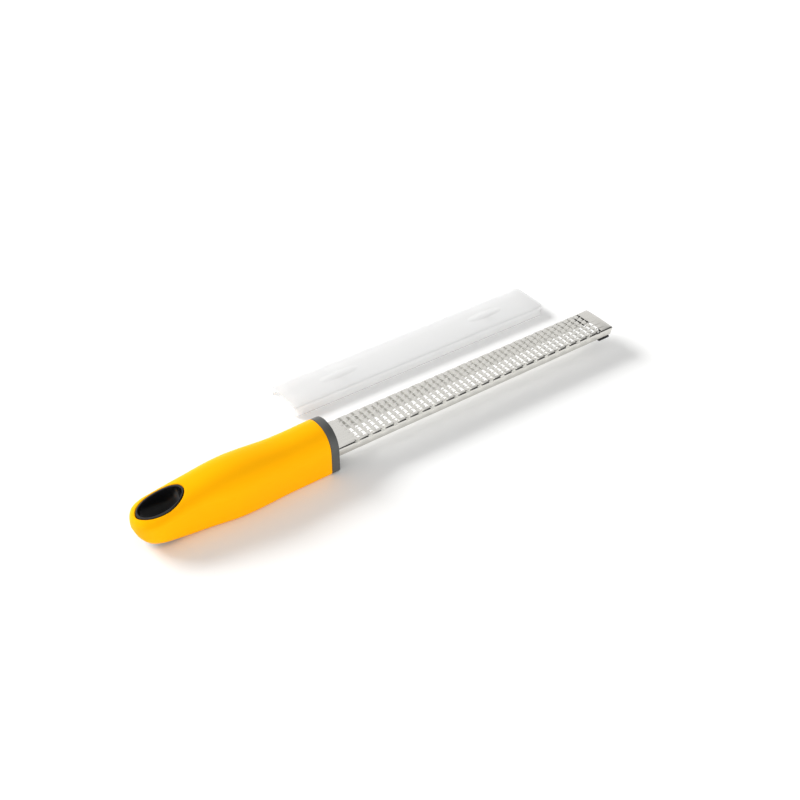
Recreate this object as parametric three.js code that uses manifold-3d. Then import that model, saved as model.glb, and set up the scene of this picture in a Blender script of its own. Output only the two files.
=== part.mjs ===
// Rasp grater with its blade cover: a toothed steel blade in a moulded handle, and the cover beside it.
// Millimetres, +Z up. X runs from the butt of the handle to the tip of the blade, and Z = 0 is the table.
import * as THREE from 'three';
import { mergeGeometries, mergeVertices } from 'three/addons/utils/BufferGeometryUtils.js';
import Module from 'manifold-3d';

const wasm = await Module();
wasm.setup();

// Overall sizes
const TOTAL_LENGTH = 325;
const HANDLE_LENGTH = 118.4;
const FIT_GAP = 0.25;
const SEAM_GAP = 0.1;
const WELD = 1e-4;

// Blade sheet
const BLADE_WIDTH = 25;
const BLADE_HEIGHT = 15;
const SHEET = 0.4;
const FLANGE_DEPTH = 4.9;
const LIP_WIDTH = 7.7;
const FOLD_RADIUS = 1;
const FLANGE_TIP_CUT = 2.4;
const FOLD_STEPS = 3;

// Tang, the blade's flat tail inside the handle
const TANG_WIDTH = 14;
const TANG_END_WALL = 8;
const TANG_HOLE = 5;
const TANG_HOLE_INSET = 16;
const TANG_HOLE_SPACING = 26;
const POST_SIDES = 16;

// Teeth: staggered rows of flaps, raised towards the tip; every other row has one tooth fewer
const ROW_PITCH = 4.335;
const TOOTH_COUNT = 6;
const TOOTH_BRIDGE = 0.5;
const TOOTH_LENGTH = 1.9;
const TOOTH_RISE = 0.5;
const TOOTH_TUCK = 0.15;
const TUCK_DEPTH = 0.08;
const MOUTH_LENGTH = 1.8;
const SIDE_SLIT = 0.12;
const FOLD_MARGIN = 0.05;
const EDGE_SLIT_LEAD = 0.7;
const EDGE_SLIT_DROP = 0.7;
const ROOT_MARGIN = 12.3;
const TIP_MARGIN = 8.7;

// Foot under the tip
const FOOT_LENGTH = 8.5;
const FOOT_SETBACK = 2.6;
const FOOT_DROP = 1.5;
const FOOT_OPENING = 8.8;
const FOOT_ARCH = 3.4;
const FOOT_PAD = 2;
const FOOT_BRIDGE = 2.4;

// Collar
const COLLAR_LENGTH = 5.2;
const COLLAR_CHEEK = 0.9;
const ARCH_DROP = 1.6;
const ARCH_RISE = 14.6;
const ARCH_FULLNESS = 2.2;
const HEEL_RADIUS = 2;
const ARCH_STEPS = 18;
const HEEL_STEPS = 3;

// Grip: widths and heights of its loft, from the butt to the collar
const BUTT_WIDTH = 26.2;
const BUTT_HEIGHT = 18.2;
const BUTT_CROWN = 5;
const BUTT_FULLNESS = 2.8;
const BUTT_HEEL = 7;
const BUTT_LIFT = 4.4;
const REST_FROM_BUTT = 40;
const NOSE_HEIGHT = 12.5;
const NOSE_LENGTH = 14;
const NOSE_TOP_LENGTH = 5;
const NOSE_SOLE_LENGTH = 9;
const NOSE_FULLNESS = 2.2;
const NOSE_RINGS = 7;
const SHOULDER_FROM_BUTT = 34;
const SHOULDER_WIDTH = 25.6;
const SHOULDER_HEIGHT = 25.8;
const SHOULDER_CROWN = 9;
const SHOULDER_FULLNESS = 2.3;
const SHOULDER_HEEL = 4;
const SWELL_FROM_BUTT = 57;
const SWELL_WIDTH = 30.6;
const SWELL_HEIGHT = 28.8;
const SWELL_CROWN = 14.5;
const SWELL_FULLNESS = 2.1;
const SWELL_HEEL = 3;
const WAIST_BEHIND_COLLAR = 26;
const WAIST_WIDTH = 27.4;
const WAIST_HEIGHT = 27.2;
const GRIP_RING_STEP = 8;
const GRIP_WALL = 3;

// Hanging hole and its liner
const HOLE_FROM_BUTT = 3.2;
const HOLE_LENGTH = 27;
const HOLE_WIDTH = 17.4;
const LINER_WALL = 1.2;
const HOLE_STEPS = 24;
const HOLE_TO_CORE = 4;

// Cover, and where it lies beside the blade
const COVER_WALL = 1.2;
const COVER_CLEARANCE = 0.5;
const COVER_SKIRT = 4.6;
const COVER_BARE_BLADE = 16.6;
const COVER_CORNER = 4;
const COVER_EDGE = 1;
const COVER_EDGE_STEPS = 3;
const COVER_CORNER_STEPS = 6;
const COVER_AHEAD = 5.3;
const COVER_ASIDE = 56.5;
const COVER_TURN_DEG = 0.4;
const RIDGE_LENGTH = 27;
const RIDGE_WIDTH = 7.5;
const RIDGE_RISE = 0.9;
const RIDGE_SPACING = 113;
const RIDGE_SIDES = 20;
const RIDGE_RINGS = 6;

// Places worked out from the sizes
const bladeTop = BLADE_HEIGHT;
const flangeBottom = bladeTop - FLANGE_DEPTH;
const flatHalf = BLADE_WIDTH / 2 - FOLD_RADIUS;
const footFront = TOTAL_LENGTH - FOOT_SETBACK;
const footBack = footFront - FOOT_LENGTH;
const openingWidth = (2 * (flatHalf - FOLD_MARGIN) - (TOOTH_COUNT - 1) * TOOTH_BRIDGE) / TOOTH_COUNT;
const toothWidth = openingWidth - 2 * SIDE_SLIT;
const toothPitch = openingWidth + TOOTH_BRIDGE;
const collarHalf = BLADE_WIDTH / 2 + COLLAR_CHEEK;
const archSpring = bladeTop - ARCH_DROP;
const collarHeight = archSpring + ARCH_RISE;
const collarBack = HANDLE_LENGTH - COLLAR_LENGTH;
const holeCentre = HOLE_FROM_BUTT + HOLE_LENGTH / 2;
const coreBack = HOLE_FROM_BUTT + HOLE_LENGTH + HOLE_TO_CORE;
const coreFront = collarBack - SEAM_GAP;
const tangEnd = coreBack + TANG_END_WALL;
const shoulderX = collarBack + FIT_GAP;
const tangHoles = [shoulderX - TANG_HOLE_INSET, shoulderX - TANG_HOLE_INSET - TANG_HOLE_SPACING];

// Axes for profiles drawn across the tool (pushed along X) and along it (pushed along -Y)
const X_AXIS = new THREE.Vector3(1, 0, 0);
const Y_AXIS = new THREE.Vector3(0, 1, 0);
const Z_AXIS = new THREE.Vector3(0, 0, 1);
const ACROSS = new THREE.Matrix4().makeBasis(Y_AXIS, Z_AXIS, X_AXIS);
const ALONG = new THREE.Matrix4().makeBasis(X_AXIS, Z_AXIS, Y_AXIS.clone().negate());

// Solids: closed meshes to and from the boolean library
function solid(geometry) {
  const loose = geometry.index ? geometry.toNonIndexed() : geometry.clone();
  loose.deleteAttribute('normal');
  loose.deleteAttribute('uv');
  const merged = mergeVertices(loose, WELD);
  const mesh = new wasm.Mesh({
    numProp: 3,
    vertProperties: new Float32Array(merged.attributes.position.array),
    triVerts: new Uint32Array(merged.index.array),
  });
  return new wasm.Manifold(mesh);
}

function geometryOf(body) {
  const mesh = body.getMesh();
  const geometry = new THREE.BufferGeometry();
  geometry.setAttribute('position', new THREE.BufferAttribute(new Float32Array(mesh.vertProperties), 3));
  geometry.setIndex(new THREE.BufferAttribute(new Uint32Array(mesh.triVerts), 1));
  geometry.computeVertexNormals();
  return geometry;
}

// A box between two corners
function block(low, high) {
  const size = high.clone().sub(low);
  const middle = low.clone().add(high).multiplyScalar(0.5);
  return new THREE.BoxGeometry(size.x, size.y, size.z).translate(middle.x, middle.y, middle.z);
}

// A profile in Y and Z, pushed from one X to another
function pushAlongX(shape, fromX, toX, curveSegments) {
  const settings = { depth: toX - fromX, bevelEnabled: false, curveSegments };
  return new THREE.ExtrudeGeometry(shape, settings).applyMatrix4(ACROSS).translate(fromX, 0, 0);
}

// A skin through rings of equal count, closed by a fan at each end
function loft(rings, startPoint, endPoint) {
  const count = rings[0].length;
  const points = [...rings.flat(), startPoint, endPoint];
  const start = points.length - 2;
  const end = points.length - 1;
  const faces = [];
  for (let j = 0; j < count; j += 1) {
    const next = (j + 1) % count;
    faces.push(start, next, j);
    for (let i = 0; i + 1 < rings.length; i += 1) {
      const here = i * count;
      const ahead = here + count;
      faces.push(here + j, here + next, ahead + j);
      faces.push(here + next, ahead + next, ahead + j);
    }
    const last = (rings.length - 1) * count;
    faces.push(end, last + j, last + next);
  }
  const geometry = new THREE.BufferGeometry().setFromPoints(points);
  geometry.setIndex(faces);
  return geometry;
}

// The blade's section, grown by a gap on every side: a flat, two folded sides and a lip returning under each
function channel(path, gap) {
  const outer = BLADE_WIDTH / 2 + gap;
  const inner = BLADE_WIDTH / 2 - SHEET - gap;
  const lipEdge = BLADE_WIDTH / 2 - LIP_WIDTH - gap;
  const upperFold = bladeTop - FOLD_RADIUS;
  const lowerFold = flangeBottom + FOLD_RADIUS;
  const outerFold = FOLD_RADIUS + gap;
  const innerFold = FOLD_RADIUS - SHEET - gap;
  const right = 0;
  const up = Math.PI / 2;
  const left = Math.PI;
  const down = 1.5 * Math.PI;
  path.moveTo(lipEdge, flangeBottom - gap);
  path.lineTo(flatHalf, flangeBottom - gap);
  path.absarc(flatHalf, lowerFold, outerFold, -up, right, false);
  path.lineTo(outer, upperFold);
  path.absarc(flatHalf, upperFold, outerFold, right, up, false);
  path.absarc(-flatHalf, upperFold, outerFold, up, left, false);
  path.lineTo(-outer, lowerFold);
  path.absarc(-flatHalf, lowerFold, outerFold, left, down, false);
  path.lineTo(-lipEdge, flangeBottom - gap);
  path.lineTo(-lipEdge, flangeBottom + SHEET + gap);
  path.absarc(-flatHalf, lowerFold, innerFold, down, left, true);
  path.lineTo(-inner, upperFold);
  path.absarc(-flatHalf, upperFold, innerFold, left, up, true);
  path.absarc(flatHalf, upperFold, innerFold, up, right, true);
  path.lineTo(inner, lowerFold);
  path.absarc(flatHalf, lowerFold, innerFold, right, -up, true);
  path.lineTo(lipEdge, flangeBottom + SHEET + gap);
  path.closePath();
  return path;
}

// Teeth: one list of flaps, full rows and short rows by turns
function toothPlaces() {
  const places = [];
  const firstHinge = HANDLE_LENGTH + ROOT_MARGIN;
  const reach = TOOTH_LENGTH + MOUTH_LENGTH;
  const rows = Math.floor((TOTAL_LENGTH - TIP_MARGIN - reach - firstHinge) / ROW_PITCH + 0.5) + 1;
  for (let row = 0; row < rows; row += 1) {
    const hinge = firstHinge + row * ROW_PITCH;
    const short = row % 2;
    for (let column = 0; column < TOOTH_COUNT - short; column += 1) {
      const centre = (column - (TOOTH_COUNT - short - 1) / 2) * toothPitch;
      const byFold = !short && column % (TOOTH_COUNT - 1) === 0;
      places.push({ hinge, centre, byFold });
    }
  }
  return places;
}

// A flap bent up from its hinge to a knife edge, let into the sheet a little behind the hinge
function toothFlap({ hinge, centre }) {
  const profile = new THREE.Shape();
  profile.moveTo(hinge - TOOTH_TUCK, bladeTop - SHEET + TUCK_DEPTH);
  profile.lineTo(hinge + TOOTH_LENGTH, bladeTop + TOOTH_RISE);
  profile.lineTo(hinge - TOOTH_TUCK, bladeTop - TUCK_DEPTH);
  profile.closePath();
  const settings = { depth: toothWidth, bevelEnabled: false };
  const flap = new THREE.ExtrudeGeometry(profile, settings).applyMatrix4(ALONG);
  return flap.translate(0, centre + toothWidth / 2, 0);
}

function toothOpening({ hinge, centre }) {
  const half = openingWidth / 2;
  const end = hinge + TOOTH_LENGTH + MOUTH_LENGTH;
  const from = new THREE.Vector3(hinge, centre - half, bladeTop - 2 * SHEET);
  return block(from, new THREE.Vector3(end, centre + half, bladeTop + SHEET));
}

// The slit that frees an outermost flap from the fold beside it
function edgeSlit({ hinge, centre }) {
  const side = Math.sign(centre);
  const inner = centre + side * (toothWidth / 2 + SIDE_SLIT / 2);
  const outer = side * BLADE_WIDTH;
  const bottom = bladeTop - EDGE_SLIT_DROP;
  const from = new THREE.Vector3(hinge - EDGE_SLIT_LEAD, Math.min(inner, outer), bottom);
  return block(from, new THREE.Vector3(hinge + TOOTH_LENGTH, Math.max(inner, outer), bladeTop + SHEET));
}

function graterBlade() {
  const folded = solid(pushAlongX(channel(new THREE.Shape(), 0), tangEnd, TOTAL_LENGTH, FOLD_STEPS));
  const clear = BLADE_WIDTH;
  const sides = [-1, 1].map((side) => block(
    new THREE.Vector3(tangEnd - clear, Math.min(side * TANG_WIDTH / 2, side * clear), 0),
    new THREE.Vector3(shoulderX, Math.max(side * TANG_WIDTH / 2, side * clear), bladeTop + clear),
  ));
  const underTang = block(
    new THREE.Vector3(tangEnd - clear, -clear, 0),
    new THREE.Vector3(shoulderX, clear, bladeTop - 2 * SHEET),
  );
  const overFoot = block(
    new THREE.Vector3(footBack - FIT_GAP, -flatHalf, 0),
    new THREE.Vector3(TOTAL_LENGTH + clear, flatHalf, flangeBottom + FOLD_RADIUS),
  );
  const holes = tangHoles.map((x) => postGeometry(x, TANG_HOLE / 2, bladeTop - clear, bladeTop + clear));
  const tipCut = new THREE.Shape();
  tipCut.moveTo(TOTAL_LENGTH, bladeTop - FOLD_RADIUS);
  tipCut.lineTo(TOTAL_LENGTH - FLANGE_TIP_CUT, flangeBottom);
  tipCut.lineTo(TOTAL_LENGTH - FLANGE_TIP_CUT, flangeBottom - SHEET);
  tipCut.lineTo(TOTAL_LENGTH + SHEET, flangeBottom - SHEET);
  tipCut.lineTo(TOTAL_LENGTH + SHEET, bladeTop - FOLD_RADIUS);
  tipCut.closePath();
  const tipSettings = { depth: 2 * clear, bevelEnabled: false };
  const tipWedge = new THREE.ExtrudeGeometry(tipCut, tipSettings).applyMatrix4(ALONG).translate(0, clear, 0);
  const teeth = toothPlaces();
  const edgeTeeth = teeth.filter((tooth) => tooth.byFold);
  return folded
    .subtract(solid(mergeGeometries(sides)))
    .subtract(solid(underTang))
    .subtract(solid(overFoot))
    .subtract(solid(mergeGeometries(holes)))
    .subtract(solid(tipWedge))
    .subtract(solid(mergeGeometries(teeth.map(toothOpening))))
    .subtract(solid(mergeGeometries(edgeTeeth.map(edgeSlit))))
    .add(solid(mergeGeometries(teeth.map(toothFlap))));
}

// A short upright post
function postGeometry(x, radius, fromZ, toZ) {
  const height = toZ - fromZ;
  const post = new THREE.CylinderGeometry(radius, radius, height, POST_SIDES).rotateX(Math.PI / 2);
  return post.translate(x, 0, fromZ + height / 2);
}

// Foot: two pads in place of the lips at the tip, joined by a bridge between the folds
function tipFoot() {
  const plug = flatHalf - FIT_GAP;
  const sole = BLADE_WIDTH / 2;
  const seat = flangeBottom - FIT_GAP;
  const bottom = flangeBottom - FOOT_DROP;
  const top = bladeTop - SHEET - FIT_GAP;
  const profile = new THREE.Shape();
  profile.moveTo(FOOT_OPENING / 2, bottom);
  profile.lineTo(sole, bottom);
  profile.lineTo(sole, seat);
  profile.lineTo(plug, seat);
  profile.lineTo(plug, top);
  profile.lineTo(-plug, top);
  profile.lineTo(-plug, seat);
  profile.lineTo(-sole, seat);
  profile.lineTo(-sole, bottom);
  profile.lineTo(-FOOT_OPENING / 2, bottom);
  profile.lineTo(-FOOT_OPENING / 2, bottom + FOOT_ARCH);
  profile.lineTo(FOOT_OPENING / 2, bottom + FOOT_ARCH);
  profile.closePath();
  const abovePads = block(
    new THREE.Vector3(footBack - FOOT_LENGTH, -BLADE_WIDTH, bottom + FOOT_PAD),
    new THREE.Vector3(footFront - FOOT_BRIDGE, BLADE_WIDTH, bladeTop),
  );
  return solid(pushAlongX(profile, footBack, footFront, 1)).subtract(solid(abovePads));
}

// A smooth curve through stations, read at x: tangents follow the stations on either side
function throughStations(stations, x, key) {
  const last = stations.length - 1;
  let i = 0;
  while (i < last - 1 && x > stations[i + 1].x) {
    i += 1;
  }
  const slope = (k) => {
    const before = stations[Math.max(k - 1, 0)];
    const after = stations[Math.min(k + 1, last)];
    return (after[key] - before[key]) / (after.x - before.x);
  };
  const from = stations[i];
  const to = stations[i + 1];
  const span = to.x - from.x;
  const t = THREE.MathUtils.clamp((x - from.x) / span, 0, 1);
  const rise = t * t * (3 - 2 * t);
  const lift = from[key] * (1 - rise) + to[key] * rise;
  return lift + span * (slope(i) * t * (1 - t) ** 2 - slope(i + 1) * t * t * (1 - t));
}

const gripStations = [
  {
    x: 0, half: BUTT_WIDTH / 2, top: BUTT_HEIGHT,
    crown: BUTT_CROWN, fullness: BUTT_FULLNESS, heel: BUTT_HEEL,
  },
  {
    x: SHOULDER_FROM_BUTT, half: SHOULDER_WIDTH / 2, top: SHOULDER_HEIGHT,
    crown: SHOULDER_CROWN, fullness: SHOULDER_FULLNESS, heel: SHOULDER_HEEL,
  },
  {
    x: SWELL_FROM_BUTT, half: SWELL_WIDTH / 2, top: SWELL_HEIGHT,
    crown: SWELL_CROWN, fullness: SWELL_FULLNESS, heel: SWELL_HEEL,
  },
  {
    x: collarBack - WAIST_BEHIND_COLLAR, half: WAIST_WIDTH / 2, top: WAIST_HEIGHT,
    crown: ARCH_RISE, fullness: ARCH_FULLNESS, heel: HEEL_RADIUS,
  },
  {
    x: collarBack, half: collarHalf, top: collarHeight,
    crown: ARCH_RISE, fullness: ARCH_FULLNESS, heel: HEEL_RADIUS,
  },
];

// The handle's arched section: a full crown, upright cheeks and a flat sole with small heels
function archPoints(half, bottom, top, crown, fullness, heel) {
  const points = [];
  const spring = top - crown;
  for (let i = 0; i <= ARCH_STEPS; i += 1) {
    const angle = (Math.PI * i) / ARCH_STEPS;
    const y = half * Math.sign(Math.cos(angle)) * Math.abs(Math.cos(angle)) ** (2 / fullness);
    points.push(new THREE.Vector2(y, spring + crown * Math.sin(angle) ** (2 / fullness)));
  }
  for (const side of [-1, 1]) {
    for (let i = 0; i <= HEEL_STEPS; i += 1) {
      const turn = (Math.PI / 2) * (side < 0 ? i / HEEL_STEPS : 1 - i / HEEL_STEPS);
      const y = side * (half - heel + heel * Math.cos(turn));
      points.push(new THREE.Vector2(y, bottom + heel - heel * Math.sin(turn)));
    }
  }
  return points;
}

// How far a rounded nose has opened at x, from 0 at the butt to 1
function noseShare(x, length) {
  const left = Math.max(1 - x / length, 0);
  return (1 - left ** NOSE_FULLNESS) ** (1 / NOSE_FULLNESS);
}

function gripRing(x, inset) {
  const read = (key) => throughStations(gripStations, x, key);
  const lift = BUTT_LIFT * Math.max(1 - x / REST_FROM_BUTT, 0) ** 2;
  const half = read('half') * noseShare(x, NOSE_LENGTH) - inset;
  const top = NOSE_HEIGHT + (read('top') - NOSE_HEIGHT) * noseShare(x, NOSE_TOP_LENGTH) - inset;
  const bottom = NOSE_HEIGHT + (lift - NOSE_HEIGHT) * noseShare(x, NOSE_SOLE_LENGTH) + inset;
  const crown = Math.min(read('crown') - inset, (top - bottom) / 2);
  const heel = Math.min(read('heel'), (top - bottom) / 2, half / 2);
  const outline = archPoints(half, bottom, top, crown, read('fullness'), heel);
  return outline.map((point) => new THREE.Vector3(x, point.x, point.y));
}

function gripLoft(fromX, toX, inset) {
  const steps = Math.ceil((toX - fromX) / GRIP_RING_STEP);
  const rings = [];
  for (let i = 0; i <= steps; i += 1) {
    rings.push(gripRing(fromX + ((toX - fromX) * i) / steps, inset));
  }
  const heart = new THREE.Vector3(0, 0, BLADE_HEIGHT);
  return { rings, start: heart.clone().setX(fromX), end: heart.clone().setX(toX) };
}

function gripOuter() {
  const rings = [];
  for (let i = 1; i < NOSE_RINGS; i += 1) {
    rings.push(gripRing(NOSE_LENGTH * (1 - Math.cos((Math.PI / 2) * (i / NOSE_RINGS))), 0));
  }
  const body = gripLoft(NOSE_LENGTH, collarBack - SEAM_GAP, 0);
  return solid(loft([...rings, ...body.rings], new THREE.Vector3(0, 0, NOSE_HEIGHT), body.end));
}

function lofted({ rings, start, end }) {
  return solid(loft(rings, start, end));
}

// An upright oval prism through the butt, drawn in from the hole's full size
function ovalThroughButt(inset) {
  const oval = new THREE.Shape();
  oval.absellipse(holeCentre, 0, HOLE_LENGTH / 2 - inset, HOLE_WIDTH / 2 - inset, 0, 2 * Math.PI, false, 0);
  const depth = 3 * SHOULDER_HEIGHT;
  const settings = { depth, bevelEnabled: false, curveSegments: HOLE_STEPS };
  return solid(new THREE.ExtrudeGeometry(oval, settings).translate(0, 0, -SHOULDER_HEIGHT));
}

function grip() {
  const cavity = lofted(gripLoft(coreBack - FIT_GAP, collarBack + COLLAR_LENGTH, GRIP_WALL - FIT_GAP));
  return gripOuter().subtract(ovalThroughButt(-FIT_GAP)).subtract(cavity);
}

function hangHoleLiner() {
  return gripOuter().intersect(ovalThroughButt(0)).subtract(ovalThroughButt(LINER_WALL));
}

// Core: fills the grip, with a slot for the tang and two posts left standing in its holes
function handleCore() {
  const slotHalf = TANG_WIDTH / 2 + FIT_GAP;
  const slotLow = new THREE.Vector3(tangEnd - FIT_GAP, -slotHalf, bladeTop - SHEET - FIT_GAP);
  const slotHigh = new THREE.Vector3(collarBack + COLLAR_LENGTH, slotHalf, bladeTop + FIT_GAP);
  const posts = tangHoles.map((x) => postGeometry(x, TANG_HOLE / 2 - FIT_GAP, 0, 2 * bladeTop));
  const slot = solid(block(slotLow, slotHigh)).subtract(solid(mergeGeometries(posts)));
  return lofted(gripLoft(coreBack, coreFront, GRIP_WALL)).subtract(slot);
}

function collar() {
  const outline = archPoints(collarHalf, 0, collarHeight, ARCH_RISE, ARCH_FULLNESS, HEEL_RADIUS);
  const profile = new THREE.Shape(outline);
  profile.holes.push(channel(new THREE.Path(), FIT_GAP));
  return solid(pushAlongX(profile, collarBack, HANDLE_LENGTH, FOLD_STEPS));
}

// Cover: a channel closed at its tip end, with two finger ridges on its back
function coverOutline(length, width, corner) {
  const half = width / 2;
  const outline = new THREE.Shape();
  outline.moveTo(-width, -half);
  outline.lineTo(length - corner, -half);
  outline.absarc(length - corner, corner - half, corner, -Math.PI / 2, 0, false);
  outline.absarc(length - corner, half - corner, corner, 0, Math.PI / 2, false);
  outline.lineTo(-width, half);
  outline.closePath();
  return outline;
}

function bladeCover() {
  const hollowWidth = BLADE_WIDTH + 2 * COVER_CLEARANCE;
  const hollowLength = TOTAL_LENGTH - HANDLE_LENGTH - COVER_BARE_BLADE + COVER_CLEARANCE;
  const hollowHeight = COVER_SKIRT + TOOTH_RISE + COVER_CLEARANCE;
  const width = hollowWidth + 2 * COVER_WALL;
  const length = hollowLength + COVER_WALL;
  const height = hollowHeight + COVER_WALL;
  const flat = coverOutline(length - COVER_EDGE, width - 2 * COVER_EDGE, COVER_CORNER - COVER_EDGE);
  const outer = new THREE.ExtrudeGeometry(flat, {
    depth: height,
    bevelSize: COVER_EDGE,
    bevelThickness: COVER_EDGE,
    bevelSegments: COVER_EDGE_STEPS,
    curveSegments: COVER_CORNER_STEPS,
  }).translate(0, 0, -COVER_EDGE);
  const keep = block(new THREE.Vector3(0, -width, 0), new THREE.Vector3(2 * length, width, 2 * height));
  const inside = coverOutline(hollowLength, hollowWidth, COVER_CORNER - COVER_WALL);
  const hollow = new THREE.ExtrudeGeometry(inside, {
    depth: 2 * hollowHeight,
    bevelEnabled: false,
    curveSegments: COVER_CORNER_STEPS,
  }).translate(0, 0, -hollowHeight);
  const ridges = [-1, 1].map((side) => new THREE.SphereGeometry(1, RIDGE_SIDES, RIDGE_RINGS)
    .rotateX(Math.PI / 2)
    .scale(RIDGE_LENGTH / 2, RIDGE_WIDTH / 2, RIDGE_RISE)
    .translate(length / 2 + (side * RIDGE_SPACING) / 2, 0, height));
  return solid(outer).intersect(solid(keep)).subtract(solid(hollow)).add(solid(mergeGeometries(ridges)));
}

// The assembly
function piece(name, body, color, roughness, metalness) {
  const material = new THREE.MeshStandardMaterial({ color, roughness, metalness });
  const mesh = new THREE.Mesh(geometryOf(body), material);
  mesh.name = name;
  return mesh;
}

const grater = new THREE.Group();
grater.add(
  piece('grater_blade', graterBlade(), 0xc9c9c6, 0.25, 1),
  piece('tip_foot', tipFoot(), 0x161616, 0.7, 0),
  piece('collar', collar(), 0x5a5b58, 0.5, 0),
  piece('handle_core', handleCore(), 0x4c4d4b, 0.6, 0),
  piece('grip', grip(), 0xffb400, 0.5, 0),
  piece('hang_hole_liner', hangHoleLiner(), 0x2b2b2c, 0.3, 0),
);

const cover = piece('blade_cover', bladeCover(), 0xf2f3f2, 0.4, 0);
cover.position.set(HANDLE_LENGTH + COVER_AHEAD, COVER_ASIDE, 0);
cover.rotation.z = -THREE.MathUtils.degToRad(COVER_TURN_DEG);

// The origin lies on the table, under the middle of the palm swell
const assembly = new THREE.Group();
assembly.add(grater, cover);
assembly.position.x = -SWELL_FROM_BUTT;

export default assembly;
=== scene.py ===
"""Looks of a rasp grater and its blade cover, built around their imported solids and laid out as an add-on."""

import math
from collections import namedtuple

import bmesh
import bpy
from bpy.props import FloatProperty, FloatVectorProperty, IntProperty, PointerProperty
from bpy.types import Operator, Panel, PropertyGroup
from mathutils import Matrix, Vector


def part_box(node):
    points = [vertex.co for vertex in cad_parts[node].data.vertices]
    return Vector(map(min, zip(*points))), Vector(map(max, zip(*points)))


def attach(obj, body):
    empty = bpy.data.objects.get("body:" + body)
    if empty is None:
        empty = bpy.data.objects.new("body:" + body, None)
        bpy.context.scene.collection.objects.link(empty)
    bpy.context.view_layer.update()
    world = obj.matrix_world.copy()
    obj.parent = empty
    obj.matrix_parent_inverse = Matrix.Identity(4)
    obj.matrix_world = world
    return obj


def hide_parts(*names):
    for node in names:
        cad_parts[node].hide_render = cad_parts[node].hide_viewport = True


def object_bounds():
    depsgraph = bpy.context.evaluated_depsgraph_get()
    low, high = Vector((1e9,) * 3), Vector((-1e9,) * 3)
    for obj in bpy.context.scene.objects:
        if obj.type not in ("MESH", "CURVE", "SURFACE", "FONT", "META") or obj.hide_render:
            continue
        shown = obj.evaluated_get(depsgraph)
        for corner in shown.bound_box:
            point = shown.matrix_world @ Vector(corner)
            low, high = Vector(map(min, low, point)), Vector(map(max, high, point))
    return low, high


bl_info = {
    "name": "Rasp Grater",
    "version": (1, 0, 0),
    "blender": (4, 5, 0),
    "location": "View3D > Sidebar > Grater",
    "description": "Dresses a rasp grater and its blade cover around their solids",
    "category": "Object",
}

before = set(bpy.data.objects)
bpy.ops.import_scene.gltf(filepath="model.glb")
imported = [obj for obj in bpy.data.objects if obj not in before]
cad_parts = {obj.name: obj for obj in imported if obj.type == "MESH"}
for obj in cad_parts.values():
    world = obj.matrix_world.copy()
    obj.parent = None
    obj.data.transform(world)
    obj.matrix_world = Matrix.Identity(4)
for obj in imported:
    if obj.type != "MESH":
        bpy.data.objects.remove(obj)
CAD_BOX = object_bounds()

# Units, and how near places or face directions are to count as one
MM = 0.001
WELD = 1e-6
SEAM_WELD = 5e-6
SAME_PLACE = 1e-5
FLAT_DEG = 1.0

# Edges that are shaded hard, and corners that are rounded
SHARP_DEG = 35.0
CORNER_DEG = 50.0

# How finely the rounded forms are divided
CROWN_STEPS = 24
UNDER_STEPS = 14
NOSE_STEPS = 10
HOLE_STEPS = 44
BODY_STEP = 2.5 * MM
CAVITY_STEP = 5 * MM
ROUND_STEPS = 4
BREAK_STEPS = 2
CORNER_STEPS = 8
LINER_SIDES = 96
LIP_STEPS = 8
FOLD_STEPS = 6
COVER_STEP = 6 * MM
RIDGE_STEPS = 24
RIDGE_COLUMNS = 14

# A tooth from its hinge to its edge: shares of its length, and of its corner rounding, at each step
TOOTH_STEPS = ((0.12, 0.0), (0.35, 0.0), (0.6, 0.0), (0.82, 0.1), (0.95, 0.4), (1.0, 1.0))
TOOTH_CURL = 1.35


# Settings that a user would change
def number(name, description, value, **kind):
    """A property that is kept as it is written."""
    return FloatProperty(name=name, description=description, default=value, **kind)


def length(name, description, millimetres):
    """A size, written in millimetres and kept in metres."""
    return number(name, description, millimetres * MM, unit="LENGTH", precision=4)


def degrees(name, description, value):
    """An angle, written in degrees and kept in radians."""
    return number(name, description, math.radians(value), subtype="ANGLE")


def numbers(name, description, values, **kind):
    """A row of values in one property."""
    return FloatVectorProperty(name=name, description=description, default=values, size=len(values), **kind)


def lengths(name, description, millimetres):
    """A row of sizes, one for each section of the grip."""
    return numbers(name, description, [size * MM for size in millimetres], unit="LENGTH")


def linear(code):
    """An sRGB hex colour as linear red, green and blue."""
    parts = [int(code[i:i + 2], 16) / 255 for i in (1, 3, 5)]
    return [c / 12.92 if c <= 0.04045 else ((c + 0.055) / 1.055) ** 2.4 for c in parts]


def colour(name, description, code):
    """A colour, written as an sRGB hex value."""
    return numbers(name, description, linear(code), subtype="COLOR", min=0.0, max=1.0)


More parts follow.
